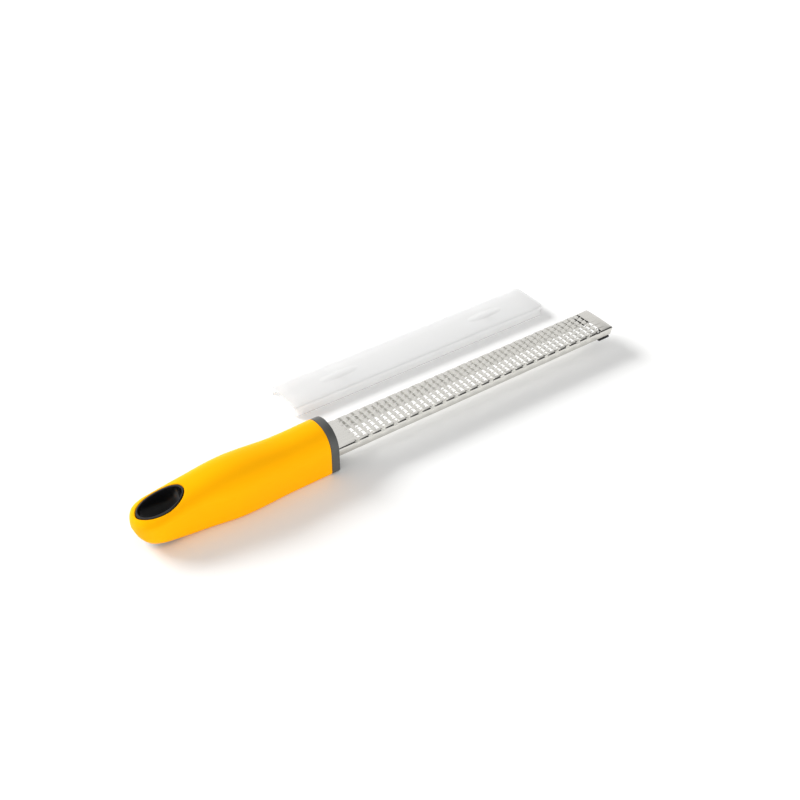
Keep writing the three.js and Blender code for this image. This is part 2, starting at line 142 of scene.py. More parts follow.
class BladeSizes(PropertyGroup):
    """The etched and folded steel sheet, its teeth and its tang."""

    sheet: length("Sheet", "Thickness of the steel sheet", 0.3)
    flange_depth: length("Flange depth", "Height of the folded edges", 4.9)
    fold_radius: length("Fold radius", "Outer radius of the folds", 0.9)
    flange_lean: degrees("Flange lean", "How far the flanges lean outwards", 8)
    lip_width: length("Lip width", "Width of the lips returning under the flanges", 7.7)
    flange_cut: length("Flange cut", "How far the flanges slope back at the tip", 2.4)
    crown: length("Crown", "Rise of the sheet's middle over its edges", 0.25)
    row_pitch: length("Row pitch", "Distance between rows of teeth", 4.335)
    tooth_count: IntProperty(name="Tooth count", description="Teeth in a full row", default=6)
    tooth_bridge: length("Tooth bridge", "Strip of sheet between the openings in a row", 0.4)
    tooth_length: length("Tooth length", "Length of a tooth from its hinge to its edge", 1.8)
    tooth_rise: length("Tooth rise", "Height of a tooth's edge over the sheet", 0.5)
    tooth_edge: length("Tooth edge", "Thickness of a tooth at its cutting edge", 0.12)
    tooth_corner: length("Tooth corner", "How far a tooth's corners are drawn in", 0.25)
    mouth_length: length("Mouth length", "Open slot ahead of a tooth", 2.1)
    side_slit: length("Side slit", "Slit on either side of a tooth", 0.12)
    edge_slit_lead: length("Edge slit lead", "How far the slits in the folds start before the hinge", 0.75)
    edge_slit_length: length("Edge slit length", "Length of those slits", 2.95)
    edge_slit_drop: length("Edge slit drop", "How far those slits reach down the folds", 0.7)
    root_margin: length("Root margin", "Plain sheet ahead of the collar", 12.3)
    tip_margin: length("Tip margin", "Plain sheet at the tip", 8.7)
    tang_width: length("Tang width", "Width of the blade's tail inside the handle", 14.0)
    tang_hole: length("Tang hole", "Diameter of the tang's two holes", 5.0)
    tang_hole_inset: length("Tang hole inset", "First tang hole behind the shoulder", 16.0)
    tang_hole_spacing: length("Tang hole spacing", "Distance between the tang holes", 26.0)
    fit_gap: length("Fit gap", "Gap between the sheet and the pieces that it meets", 0.25)
    edge_break: length("Edge break", "Rounding of the sheet's cut edges", 0.05)


class GripSizes(PropertyGroup):
    """Sections of the grip from butt to collar, the lined hanging hole, and the collar's rounding."""

    section_from_butt: lengths("Section places", "Distance of each section from the butt",
                               (0, 34, 57, 87.2, 113.2))
    section_width: lengths("Section widths", "Width of the grip at each section",
                           (26.2, 25.6, 30.6, 27.4, 26.8))
    section_height: lengths("Section heights", "Height of each section's crown",
                            (18.2, 25.8, 28.8, 27.2, 28.0))
    section_crown: lengths("Section crowns", "Depth of each section's arch", (5, 9, 14.5, 14.6, 14.6))
    section_heel: lengths("Section heels", "Radius under each section's sides", (7, 4, 3, 2, 2))
    section_fullness: numbers("Section fullness", "Squareness of each arch, 2 is round",
                              (2.8, 2.3, 2.1, 2.2, 2.2))
    butt_lift: length("Butt lift", "Height of the sole at the butt", 4.4)
    rest_from_butt: length("Rest from butt", "Where the sole starts to touch the table", 40.0)
    nose_height: length("Nose height", "Height of the butt's rearmost point", 12.5)
    nose_length: length("Nose length", "Rounding of the butt in plan", 14.0)
    nose_top_length: length("Nose top length", "Rounding of the butt over its top", 5.0)
    nose_sole_length: length("Nose sole length", "Rounding of the butt under its sole", 9.0)
    nose_fullness: number("Nose fullness", "Squareness of the butt, 2 is round", 2.2)
    wall: length("Wall", "Thickness of the soft layer over the core", 2.75)
    cavity_from_butt: length("Cavity from butt", "Where the hollow for the core ends", 33.95)
    cavity_height: length("Cavity height", "Height of the hollow's middle", 15.0)
    front_round: length("Front round", "Rounding of the edge at the collar", 0.35)
    hole_from_butt: length("Hole from butt", "Distance of the hanging hole from the butt", 3.2)
    hole_length: length("Hole length", "Length of the hanging hole's oval", 27.0)
    hole_width: length("Hole width", "Width of the hanging hole's oval", 17.4)
    hole_gap: length("Hole gap", "Gap between the liner and the grip", 0.25)
    hole_roll: length("Hole roll", "Rounding of the grip's edge at the hole", 0.6)
    liner_wall: length("Liner wall", "Thickness of the hole's liner", 1.2)
    liner_lip: length("Liner lip", "Depth of the liner's rounded lip", 0.6)
    collar_round: length("Collar round", "Rounding of the collar's edges", 0.45)


class FootSizes(PropertyGroup):
    """The rubber pads under the tip, and how far they are drawn in from the solid's."""

    pad: length("Pad", "Thickness of the solid's pads", 2.0)
    sink: length("Sink", "How far the pads' tops are drawn down", 1.0)
    opening: length("Opening", "Gap between the solid's two pads", 8.8)
    trim: length("Trim", "How far the pads' inner edges are drawn out", 1.6)
    rounding: length("Rounding", "Rounding of the foot's edges", 0.35)


class CoverSizes(PropertyGroup):
    """The blade cover, an open channel with two finger ridges."""

    width: length("Width", "Width over the cover's walls", 28.4)
    wall: length("Wall", "Thickness of the cover's walls", 1.2)
    edge_radius: length("Edge radius", "Rounding along the cover's back", 1.3)
    corner_radius: length("Corner radius", "Rounding of the closed end in plan", 4.0)
    ridge_length: length("Ridge length", "Length of a finger ridge", 27.0)
    ridge_width: length("Ridge width", "Width of a finger ridge", 7.5)
    ridge_rise: length("Ridge rise", "Height of a finger ridge", 0.9)
    ridge_spacing: length("Ridge spacing", "Distance between the finger ridges", 113.0)
    rim_round: length("Rim round", "Rounding of the cover's rims", 0.25)
    turn: degrees("Turn", "How far the cover lies turned towards the blade", 0.4)


class Finishes(PropertyGroup):
    """Colours of the finishes."""

    grip: colour("Grip", "Soft-touch rubber of the grip", "#FFB400")
    grip_deep: colour("Grip shade", "The same rubber where its colour lies deeper", "#FFAE00")
    steel: colour("Steel", "Stainless steel of the blade", "#DEDCD7")
    steel_line: colour("Steel line", "The steel along its brush lines", "#CECCC6")
    steel_inside: colour("Steel inside", "Pickled inner faces of the blade", "#F0EFEB")
    collar: colour("Collar", "Hard plastic of the collar", "#4E4F4D")
    liner: colour("Liner", "Gloss plastic of the hole's liner", "#101012")
    foot: colour("Foot", "Rubber of the foot", "#171717")
    core: colour("Core", "Hard plastic of the hidden core", "#4C4D4B")
    cover: colour("Cover", "Frosted plastic of the cover", "#F5F5F5")


class StageSettings(PropertyGroup):
    """Camera, lamps and floor."""

    camera_place: numbers("Camera place", "Where the camera stands", (-0.20335, -0.43928, 0.43547),
                          subtype="TRANSLATION", unit="LENGTH")
    camera_tilt: degrees("Camera tilt", "Turn of the camera up from straight down", 52.41)
    camera_heading: degrees("Camera heading", "Turn of the camera about the vertical", -35.65)
    camera_lens: number("Camera lens", "Focal length in millimetres on a 36 mm sensor", 53.44)
    key_power: number("Key power", "Power of the large softbox", 115.0, unit="POWER")
    fill_power: number("Fill power", "Power of the wide lamp in front", 40.0, unit="POWER")
    ambient: number("Ambient", "Strength of the even light all round", 0.6)
    dark_wall: number("Dark wall", "Brightness of the unlit wall seen in gloss", 0.06)
    floor_fill: number("Floor fill", "Light added to the floor as it is seen", 0.02)
    floor_colour: colour("Floor colour", "Pale table", "#F8F8F7")


class GraterSettings(PropertyGroup):
    """All settings of the grater."""

    blade: PointerProperty(name="Blade", description="Sizes of the blade", type=BladeSizes)
    grip: PointerProperty(name="Grip", description="Sizes of the handle", type=GripSizes)
    foot: PointerProperty(name="Foot", description="Sizes of the foot", type=FootSizes)
    cover: PointerProperty(name="Cover", description="Sizes of the blade cover", type=CoverSizes)
    finish: PointerProperty(name="Finish", description="Colours", type=Finishes)
    stage: PointerProperty(name="Stage", description="Camera and light", type=StageSettings)


# Modelling helpers
def even_steps(start, end, count):
    """Values from start to end in a number of equal steps."""
    return [start + (end - start) * i / count for i in range(count + 1)]


def pairs(items, closed=False):
    """Neighbours in a row, and the last with the first where the row is closed."""
    return list(zip(items, items[1:] + items[:1] if closed else items[1:]))


def extrude_row(bm, verts, places, closed=False):
    """Extrudes a row of vertices, moves the new row to its places and returns it."""
    edges = [bm.edges.get(pair) for pair in pairs(verts, closed)]
    geometry = bmesh.ops.extrude_edge_only(bm, edges=edges)["geom"]
    made = {item for item in geometry if isinstance(item, bmesh.types.BMVert)}
    row = [next(e.other_vert(v) for e in v.link_edges if e.other_vert(v) in made) for v in verts]
    for vert, place in zip(row, places):
        vert.co = place
    return row


def sweep(bm, rows, closed=False):
    """A skin through rows of places, by one extrusion for each row; returns its rows of vertices."""
    first = [bm.verts.new(place) for place in rows[0]]
    for pair in pairs(first, closed):
        bm.edges.new(pair)
    made = [first]
    for places in rows[1:]:
        made.append(extrude_row(bm, made[-1], places, closed))
    return made


def face_up(bm, above=0.0):
    """Turns an open sheet's faces so that the side which lies above a height points up."""
    bm.normal_update()
    if sum(face.normal.z * face.calc_area() for face in bm.faces if face.calc_center_median().z > above) < 0:
        bmesh.ops.reverse_faces(bm, faces=bm.faces)


def distinct(values):
    """Values in order, with those that fall together taken once."""
    kept = []
    for value in sorted(values):
        if not kept or value - kept[-1] > SAME_PLACE:
            kept.append(value)
    return kept


def welded_copy(node):
    """A CAD node's mesh with its loose triangles welded and its flat faces made whole."""
    bm = bmesh.new()
    bm.from_mesh(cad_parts[node].data)
    bmesh.ops.remove_doubles(bm, verts=bm.verts, dist=WELD)
    bmesh.ops.dissolve_limit(bm, angle_limit=math.radians(FLAT_DEG), verts=bm.verts, edges=bm.edges)
    return bm


def corner_edges(bm):
    """The edges where two faces meet at a corner."""
    return [e for e in bm.edges if e.is_manifold and e.calc_face_angle() > math.radians(CORNER_DEG)]


def round_edges(bm, edges, radius):
    """Rounds edges of a bmesh."""
    bmesh.ops.bevel(bm, geom=edges, offset=radius, offset_type="OFFSET", affect="EDGES",
                    segments=ROUND_STEPS, profile=0.5, material=-1, clamp_overlap=True)


def new_piece(bm, name, material):
    """An object at the origin, made from a bmesh."""
    mesh = bpy.data.meshes.new(name)
    bm.to_mesh(mesh)
    bm.free()
    mesh.materials.append(material)
    piece = bpy.data.objects.new(name, mesh)
    bpy.context.scene.collection.objects.link(piece)
    return piece


def add_wall(piece, thickness, group=""):
    """Gives an open skin its thickness, inwards."""
    wall = piece.modifiers.new("wall", "SOLIDIFY")
    wall.thickness = thickness
    wall.offset = -1.0
    wall.use_even_offset = True
    wall.vertex_group = group


def add_edge_break(piece, width):
    """Rounds the corners that a wall's rim has."""
    edge = piece.modifiers.new("edge_break", "BEVEL")
    edge.width = width
    edge.segments = BREAK_STEPS
    edge.limit_method = "ANGLE"
    edge.angle_limit = math.radians(CORNER_DEG)


def settle(piece, body, node):
    """Applies a piece's modifiers, shades it smooth up to its sharp edges and hangs it on its body."""
    depsgraph = bpy.context.evaluated_depsgraph_get()
    piece.data = bpy.data.meshes.new_from_object(piece.evaluated_get(depsgraph))
    piece.modifiers.clear()
    piece.data.polygons.foreach_set("use_smooth", [True] * len(piece.data.polygons))
    piece.data.set_sharp_from_angle(angle=math.radians(SHARP_DEG))
    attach(piece, body)
    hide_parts(node)


# Finishes
# The Mix node's sockets share their names, so they go by number
SHARE, FIRST_VALUE, SECOND_VALUE, FIRST_COLOUR, SECOND_COLOUR = 0, 2, 3, 6, 7
VALUE_RESULT, COLOUR_RESULT = 0, 2
# How deep a mould's grain and the brush lines are
GRAIN_DEPTH = 0.05 * MM
BRUSH_DEPTH = 0.03 * MM


def add_node(tree, kind, inputs=None, **settings):
    """Adds a node with its settings; an input is a value, or another node's output, which is linked."""
    node = tree.nodes.new(kind)
    for name, value in settings.items():
        setattr(node, name, value)
    for name, value in (inputs or {}).items():
        if isinstance(value, bpy.types.NodeSocket):
            tree.links.new(value, node.inputs[name])
        else:
            node.inputs[name].default_value = value
    return node


def new_material(name):
    """A material with an empty node tree, and that tree."""
    material = bpy.data.materials.new(name)
    material.use_nodes = True
    material.node_tree.nodes.clear()
    return material, material.node_tree


def repeats(millimetres):
    """Texture scale, in repeats per metre, of a pattern whose features are this large."""
    return 1 / (millimetres * MM)


def opaque(rgb):
    """A colour property's value with full alpha."""
    return (*rgb, 1.0)


def moulded_skin(tree, tone, grain_mm, smooth, rough, relief, ior=1.5, specular=0.5):
    """The skin of a moulded plastic: its gloss and its fine relief follow the mould's grain."""
    place = add_node(tree, "ShaderNodeTexCoord").outputs["Object"]
    grain = add_node(tree, "ShaderNodeTexNoise", {
        "Vector": place, "Scale": repeats(grain_mm), "Detail": 3.0}).outputs["Fac"]
    gloss = add_node(tree, "ShaderNodeMapRange", {"Value": grain, "To Min": smooth, "To Max": rough})
    bump = add_node(tree, "ShaderNodeBump", {"Height": grain, "Strength": relief, "Distance": GRAIN_DEPTH})
    return add_node(tree, "ShaderNodeBsdfPrincipled", {
        "Base Color": tone, "Roughness": gloss.outputs["Result"], "Normal": bump.outputs["Normal"],
        "IOR": ior, "Specular IOR Level": specular}).outputs["BSDF"]


def moulded_plastic(name, rgb, **grain):
    """A moulded plastic in one colour."""
    material, tree = new_material(name)
    skin = moulded_skin(tree, opaque(rgb), **grain)
    add_node(tree, "ShaderNodeOutputMaterial", {"Surface": skin})
    return material


def soft_touch_tpe(finish):
    """Moulded soft-touch TPE: even strong colour, a wide satin sheen and a matt mould grain."""
    material, tree = new_material("soft_touch_tpe_yellow")
    # Colour drifts slowly over about 30 mm, as the melt's thickness does
    place = add_node(tree, "ShaderNodeTexCoord").outputs["Object"]
    drift = add_node(tree, "ShaderNodeTexNoise", {"Vector": place, "Scale": repeats(30), "Detail": 2.0})
    tint = add_node(tree, "ShaderNodeMix", {
        SHARE: drift.outputs["Fac"], FIRST_COLOUR: opaque(finish.grip),
        SECOND_COLOUR: opaque(finish.grip_deep)}, data_type="RGBA").outputs[COLOUR_RESULT]
    # The mould's spark grain is about 0.05 mm, drawn at 0.5 mm so that it shows
    skin = moulded_skin(tree, tint, grain_mm=0.5, smooth=0.38, rough=0.5, relief=0.06, specular=0.06)
    add_node(tree, "ShaderNodeOutputMaterial", {"Surface": skin})
    return material


def brushed_stainless(finish, blade, plan):
    """Photo-etched stainless sheet with a fine brushed face: soft bright streaks along the blade."""
    material, tree = new_material("brushed_stainless_steel")
    place = add_node(tree, "ShaderNodeTexCoord").outputs["Object"]
    # Brush lines about 25 mm long; their real width of 0.03 mm is drawn at 0.25 mm so that it shows
    along = add_node(tree, "ShaderNodeMapping", {
        "Vector": place, "Scale": (repeats(25), repeats(0.25), repeats(0.25))}, vector_type="POINT")
    lines = add_node(tree, "ShaderNodeTexNoise", {
        "Vector": along.outputs["Vector"], "Scale": 1.0, "Detail": 2.0}).outputs["Fac"]
    tint = add_node(tree, "ShaderNodeMix", {
        SHARE: lines, FIRST_COLOUR: opaque(finish.steel),
        SECOND_COLOUR: opaque(finish.steel_line)}, data_type="RGBA")
    # Handling and rolling leave clouds about 12 mm across
    clouds = add_node(tree, "ShaderNodeTexNoise", {"Vector": place, "Scale": repeats(12), "Detail": 3.0})
    worn = add_node(tree, "ShaderNodeMath", {0: lines, 1: clouds.outputs["Fac"]}, operation="ADD")
    brushed = add_node(tree, "ShaderNodeMapRange", {
        "Value": worn.outputs["Value"], "From Min": 0.6, "From Max": 1.4, "To Min": 0.13, "To Max": 0.24})
    # Faces that look in towards the channel's middle keep the pale, matt finish of the pickled sheet
    middle = Vector((0.0, 0.0, plan.top - blade.flange_depth / 2))
    across = add_node(tree, "ShaderNodeMapping", {
        "Vector": place, "Location": -middle, "Scale": (0.0, 1.0, 1.0)}, vector_type="POINT")
    facing = add_node(tree, "ShaderNodeNewGeometry").outputs["Normal"]
    outward = add_node(tree, "ShaderNodeVectorMath", {
        0: across.outputs["Vector"], 1: facing}, operation="DOT_PRODUCT")
    inside = add_node(tree, "ShaderNodeMath", {
        0: outward.outputs["Value"], 1: 0.0}, operation="LESS_THAN").outputs["Value"]
    shade = add_node(tree, "ShaderNodeMix", {
        SHARE: inside, FIRST_COLOUR: tint.outputs[COLOUR_RESULT],
        SECOND_COLOUR: opaque(finish.steel_inside)}, data_type="RGBA")
    metal = add_node(tree, "ShaderNodeMapRange", {"Value": inside, "To Min": 1.0, "To Max": 0.12})
    rough = add_node(tree, "ShaderNodeMix", {
        SHARE: inside, FIRST_VALUE: brushed.outputs["Result"], SECOND_VALUE: 0.55}, data_type="FLOAT")
    bump = add_node(tree, "ShaderNodeBump", {"Height": lines, "Strength": 0.05, "Distance": BRUSH_DEPTH})
    surface = add_node(tree, "ShaderNodeBsdfPrincipled", {
        "Base Color": shade.outputs[COLOUR_RESULT], "Metallic": metal.outputs["Result"],
        "Roughness": rough.outputs[VALUE_RESULT], "Normal": bump.outputs["Normal"]})
    add_node(tree, "ShaderNodeOutputMaterial", {"Surface": surface.outputs["BSDF"]})
    return material


def frosted_polypropylene(finish):
    """Injection-moulded clear polypropylene, milky and frosted by its mould, so light spreads through it."""
    material, tree = new_material("frosted_polypropylene")
    milk = opaque(finish.cover)
    # Frosting of about 0.1 mm, drawn at 0.8 mm so that it shows
    skin = moulded_skin(tree, milk, grain_mm=0.8, smooth=0.42, rough=0.55, relief=0.05, ior=1.49)
    # A milky wall of 1.2 mm lets about half the light straight through and scatters half the rest onwards
    scattered = add_node(tree, "ShaderNodeBsdfTranslucent", {"Color": milk})
    milky = add_node(tree, "ShaderNodeMixShader", {
        "Fac": 0.45, 1: skin, 2: scattered.outputs["BSDF"]})
    straight = add_node(tree, "ShaderNodeBsdfTransparent", {"Color": milk})
    surface = add_node(tree, "ShaderNodeMixShader", {
        "Fac": 0.47, 1: milky.outputs["Shader"], 2: straight.outputs["BSDF"]})
    add_node(tree, "ShaderNodeOutputMaterial", {"Surface": surface.outputs["Shader"]})
    return material


# Blade
Sheet = namedtuple("Sheet", "tang_end shoulder root tip lip_end half flat top fold_low flange_low opening")
Tooth = namedtuple("Tooth", "hinge centre fold")


def sheet_plan(blade):
    """Where the sheet's parts lie, from the frame, and the width of a tooth's opening."""
    low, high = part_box("grater_blade")
    collar_low, collar_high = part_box("collar")
    top = high.z - blade.tooth_rise
    flat = high.y - blade.fold_radius - math.tan(blade.flange_lean) * blade.flange_depth / 2
    opening = (2 * flat - (blade.tooth_count - 1) * blade.tooth_bridge) / blade.tooth_count
    return Sheet(tang_end=low.x, shoulder=collar_low.x + blade.fit_gap, root=collar_high.x, tip=high.x,
                 lip_end=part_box("tip_foot")[0].x - blade.fit_gap, half=high.y, flat=flat, top=top,
                 fold_low=top - blade.fold_radius, flange_low=top - blade.flange_depth, opening=opening)


def tooth_places(blade, plan):
    """Every tooth, in full and short rows by turns: its hinge, its middle and the fold that it is at."""
    first = plan.root + blade.root_margin
    reach = blade.tooth_length + blade.mouth_length
    rows = round((plan.tip - blade.tip_margin - reach - first) / blade.row_pitch) + 1
    teeth = []
    for row in range(rows):
        count = blade.tooth_count - row % 2
        for column in range(count):
            centre = (column - (count - 1) / 2) * (plan.opening + blade.tooth_bridge)
            at_fold = (column == count - 1) - (column == 0) if count == blade.tooth_count else 0
            teeth.append(Tooth(first + row * blade.row_pitch, centre, at_fold))
    return teeth


def tang_holes(blade, plan):
    """Where the tang's holes lie."""
    first = plan.shoulder - blade.tang_hole_inset
    return first, first - blade.tang_hole_spacing


def etched_boxes(blade, plan, teeth):
    """Stretches of X and Y in which the sheet is etched away."""
    reach = blade.tooth_length + blade.mouth_length
    half = plan.opening / 2
    down_fold = math.acos(1 - blade.edge_slit_drop / blade.fold_radius)
    slit_end = plan.flat + blade.fold_radius * math.sin(down_fold)
    boxes = []
    for tooth in teeth:
        boxes.append((tooth.hinge, tooth.hinge + reach, tooth.centre - half, tooth.centre + half))
        if tooth.fold:
            sides = sorted((tooth.centre + tooth.fold * half, tooth.fold * slit_end))
            start = tooth.hinge - blade.edge_slit_lead
            boxes.append((start, start + blade.edge_slit_length, *sides))
    radius = blade.tang_hole / 2
    for x in tang_holes(blade, plan):
        boxes.append((x - radius, x + radius, -radius, radius))
    # Beside the tang the sheet goes, out past its edges
    for side in (-1, 1):
        sides = sorted((side * blade.tang_width / 2, side * 2 * plan.half))
        boxes.append((plan.tang_end, plan.shoulder, *sides))
    return boxes


def sheet_section(blade, plan, cuts):
    """The sheet's outer face across the blade: along one lip, up its flange, over the flat and back."""
    lean, radius = blade.flange_lean, blade.fold_radius
    lower_z = plan.flange_low + radius
    lower_y = plan.flat + math.tan(lean) * (plan.fold_low - lower_z)

    def fold(y, z, start, end):
        turns = even_steps(start, end, FOLD_STEPS)
        return [(y + radius * math.cos(a), z + radius * math.sin(a)) for a in turns]

    side = [(plan.half - blade.lip_width, plan.flange_low)]
    side += fold(lower_y, lower_z, -math.pi / 2, lean)
    side += fold(plan.flat, plan.fold_low, lean, math.pi / 2)[:-1]
    flat = [(y, plan.top + blade.crown * (1 - (y / plan.flat) ** 2)) for y in cuts]
    return [(-y, z) for y, z in side] + flat + side[::-1]


def sheet_row(blade, plan, section, x):
    """The section's places at x, cut back along the slope of the flanges' tips."""
    slope = blade.flange_cut / (plan.fold_low - plan.flange_low)
    return [Vector((min(x, plan.tip - slope * max(plan.fold_low - z, 0.0)), y, z)) for y, z in section]


def etch(bm, plan, boxes):
    """Takes out the flat's etched stretches, the flanges behind the shoulder and the lips over the foot."""
    gone = []
    for face in bm.faces:
        x, y, z = face.calc_center_median()
        if z < plan.fold_low:
            cut = x < plan.shoulder or (abs(y) < plan.flat and x > plan.lip_end)
        else:
            cut = any(x0 < x < x1 and y0 < y < y1 for x0, x1, y0, y1 in boxes)
        if cut:
            gone.append(face)
    bmesh.ops.delete(bm, geom=gone, context="FACES")


def round_tang_holes(bm, blade, plan):
    """Draws the square openings in the tang in to round holes."""
    radius = blade.tang_hole / 2
    for x in tang_holes(blade, plan):
        for vert in bm.verts:
            off = Vector((vert.co.x - x, vert.co.y))
            if abs(max(abs(off.x), abs(off.y)) - radius) < WELD:
                off *= radius / off.length
                vert.co.x = x + off.x
                vert.co.y = off.y


def raise_tooth(bm, blade, plan, tooth, hinge_row, thickness):
    """Extrudes a tooth from its hinge in a rising curl, thinner towards its edge."""
    half = plan.opening / 2
    row = [v for v in hinge_row if v.is_valid and abs(v.co.y - tooth.centre) < half + WELD]
    starts = [v.co.copy() for v in row]
    for share, rounding in TOOTH_STEPS:
        narrow = 1 - (blade.side_slit + rounding * blade.tooth_corner) / half
        rise = blade.tooth_rise * share ** TOOTH_CURL
        places = []
        for start in starts:
            y = tooth.centre + (start.y - tooth.centre) * narrow
            places.append(Vector((start.x + blade.tooth_length * share, y, start.z + rise)))
        row = extrude_row(bm, row, places)
        for vert in row:
            vert[thickness][0] = 1 - (1 - blade.tooth_edge / blade.sheet) * share


class GRATER_OT_make_blade(Operator):
    """Fold the etched steel sheet and raise its teeth"""

    bl_idname = "grater.make_blade"
    bl_label = "Blade"

    def execute(self, context):
        settings = context.scene.grater
        blade = settings.blade
        plan = sheet_plan(blade)
        teeth = tooth_places(blade, plan)
        boxes = etched_boxes(blade, plan, teeth)
        across = [y for box in boxes for y in box[2:] if abs(y) < plan.flat]
        cuts = distinct([*across, -plan.flat, plan.flat])
        along = [x for box in boxes for x in box[:2]]
        ends = [plan.lip_end, plan.tip - blade.flange_cut, plan.tip]
        stops = distinct([*along, *tang_holes(blade, plan), *ends])
        section = sheet_section(blade, plan, cuts)
        beside = (len(section) - len(cuts)) // 2
        bm = bmesh.new()
        thickness = bm.verts.layers.deform.verify()
        rows = sweep(bm, [sheet_row(blade, plan, section, x) for x in stops])
        etch(bm, plan, boxes)
        round_tang_holes(bm, blade, plan)
        for vert in bm.verts:
            vert[thickness][0] = 1.0
        for tooth in teeth:
            nearest = min(range(len(stops)), key=lambda i: abs(stops[i] - tooth.hinge))
            raise_tooth(bm, blade, plan, tooth, rows[nearest][beside:-beside], thickness)
        face_up(bm, plan.fold_low)
        piece = new_piece(bm, "etched_blade", brushed_stainless(settings.finish, blade, plan))
        group = piece.vertex_groups.new(name="sheet_thickness")
        add_wall(piece, blade.sheet, group.name)
        add_edge_break(piece, blade.edge_break)
        settle(piece, "grater", "grater_blade")
        return {"FINISHED"}


# Grip
Section = namedtuple("Section", "half top bottom crown fullness heel")


def through(places, values, x):
    """A smooth line through values at places, each slope taken from the neighbours."""
    last = len(places) - 1
    i = 0
    while i < last - 1 and x > places[i + 1]:
        i += 1

    def slope(k):
        before, after = max(k - 1, 0), min(k + 1, last)
        return (values[after] - values[before]) / (places[after] - places[before])

    span = places[i + 1] - places[i]
    t = min(max((x - places[i]) / span, 0.0), 1.0)
    rise = t * t * (3 - 2 * t)
    level = values[i] * (1 - rise) + values[i + 1] * rise
    return level + span * (slope(i) * t * (1 - t) ** 2 - slope(i + 1) * t * t * (1 - t))


def nose_share(grip, x, reach):
    """How far the butt's rounding has opened at x, from 0 at the butt to 1."""
    power = grip.nose_fullness
    return (1 - max(1 - x / reach, 0.0) ** power) ** (1 / power)


def grip_section(grip, x, inset=0.0):
    """The grip's section at a distance from the butt, drawn in by an inset."""
    profiles = (grip.section_width, grip.section_height, grip.section_crown, grip.section_fullness,
                grip.section_heel)
    width, top, crown, fullness, heel = (through(grip.section_from_butt, values, x) for values in profiles)
    lift = grip.butt_lift * max(1 - x / grip.rest_from_butt, 0.0) ** 2
    nose = grip.nose_height
    half = max(width / 2 * nose_share(grip, x, grip.nose_length) - inset, WELD)
    top = nose + (top - nose) * nose_share(grip, x, grip.nose_top_length) - inset
    bottom = nose + (lift - nose) * nose_share(grip, x, grip.nose_sole_length) + inset
    crown = max(min(crown - inset, (top - bottom) / 2), WELD)
    heel = max(min(heel, (top - bottom) / 2, half / 2), WELD)
    return Section(half, top, bottom, crown, fullness, heel)


def crown_height(section, y):
    """Height of the grip's upper face at y."""
    open_share = max(1 - (abs(y) / section.half) ** section.fullness, 0.0)
    return section.top - section.crown + section.crown * open_share ** (1 / section.fullness)


def sole_height(section, y):
    """Height of the grip's underside at y."""
    into_heel = min(max(abs(y) - (section.half - section.heel), 0.0), section.heel)
    return section.bottom + section.heel - math.sqrt(section.heel ** 2 - into_heel ** 2)


def half_outline(section, inner=0.0):
    """Half of a section from the upper face round to the underside, starting and ending at y = inner."""
    steepest = math.acos(min(inner / section.half, 1.0) ** (section.fullness / 2))
    points = []
    for i in range(CROWN_STEPS + 1):
        angle = steepest * (1 - i / CROWN_STEPS)
        y = section.half * math.cos(angle) ** (2 / section.fullness)
        rise = math.sin(angle) ** (2 / section.fullness)
        points.append((y, section.top - section.crown + section.crown * rise))
    flat = section.half - section.heel
    turn = math.acos(min(max((inner - flat) / section.heel, 0.0), 1.0))
    run = section.heel * turn + max(flat - inner, 0.0)
    for way in even_steps(0.0, run, UNDER_STEPS):
        angle = min(way / section.heel, turn)
        y = flat + section.heel * math.cos(angle) - max(way - section.heel * turn, 0.0)
        points.append((y, section.bottom + section.heel * (1 - math.sin(angle))))
    return points


def hole_axes(grip, outward=0.0):
    """The hanging hole's middle and half axes, with the oval set outward."""
    half_length = grip.hole_length / 2
    return grip.hole_from_butt + half_length, half_length + outward, grip.hole_width / 2 + outward


def grip_rows(grip, butt, front):
    """Places of the grip's half skin, from the butt over its outside and back through the core's hollow."""
    middle, along, across = hole_axes(grip, grip.hole_gap + grip.hole_roll)
    stations = []
    for angle in even_steps(0.0, math.pi / 2, NOSE_STEPS)[:-1]:
        stations.append(((middle - along) * (1 - math.cos(angle)), 0.0, 0.0))
    for angle in even_steps(0.0, math.pi, HOLE_STEPS):
        stations.append((middle - along * math.cos(angle), 0.0, across * math.sin(angle)))
    start, end = middle + along, front - grip.front_round
    for x in even_steps(start, end, math.ceil((end - start) / BODY_STEP))[1:]:
        stations.append((x, 0.0, 0.0))
    for angle in even_steps(0.0, math.pi / 2, ROUND_STEPS)[1:]:
        inset = grip.front_round * (1 - math.cos(angle))
        stations.append((end + grip.front_round * math.sin(angle), inset, 0.0))
    back = grip.cavity_from_butt
    for x in even_steps(front, back, math.ceil((front - back) / CAVITY_STEP)):
        stations.append((x, grip.wall, 0.0))
    rows = []
    for x, inset, inner in stations:
        outline = half_outline(grip_section(grip, x, inset), inner if inner > WELD else 0.0)
        rows.append([Vector((butt + x, y, z)) for y, z in outline])
    rows.append([Vector((butt + back, 0.0, grip.cavity_height))] * len(rows[0]))
    return rows


def roll_rim(bm, edges, centre, axes, radius, down):
    """Turns a rim of the hanging hole into the bore along a quarter round; returns the rim's last edges."""
    for before, after in pairs(even_steps(0.0, math.pi / 2, ROUND_STEPS)):
        geometry = bmesh.ops.extrude_edge_only(bm, edges=edges)["geom"]
        edges = [item for item in geometry if isinstance(item, bmesh.types.BMEdge) and item.is_boundary]
        inwards = radius * (math.sin(after) - math.sin(before))
        sink = radius * (math.cos(before) - math.cos(after))
        for vert in {v for e in edges for v in e.verts}:
            out = Vector(((vert.co.x - centre) / axes[0] ** 2, vert.co.y / axes[1] ** 2, 0.0)).normalized()
            vert.co -= out * inwards
            vert.co.z += sink * down
    return edges


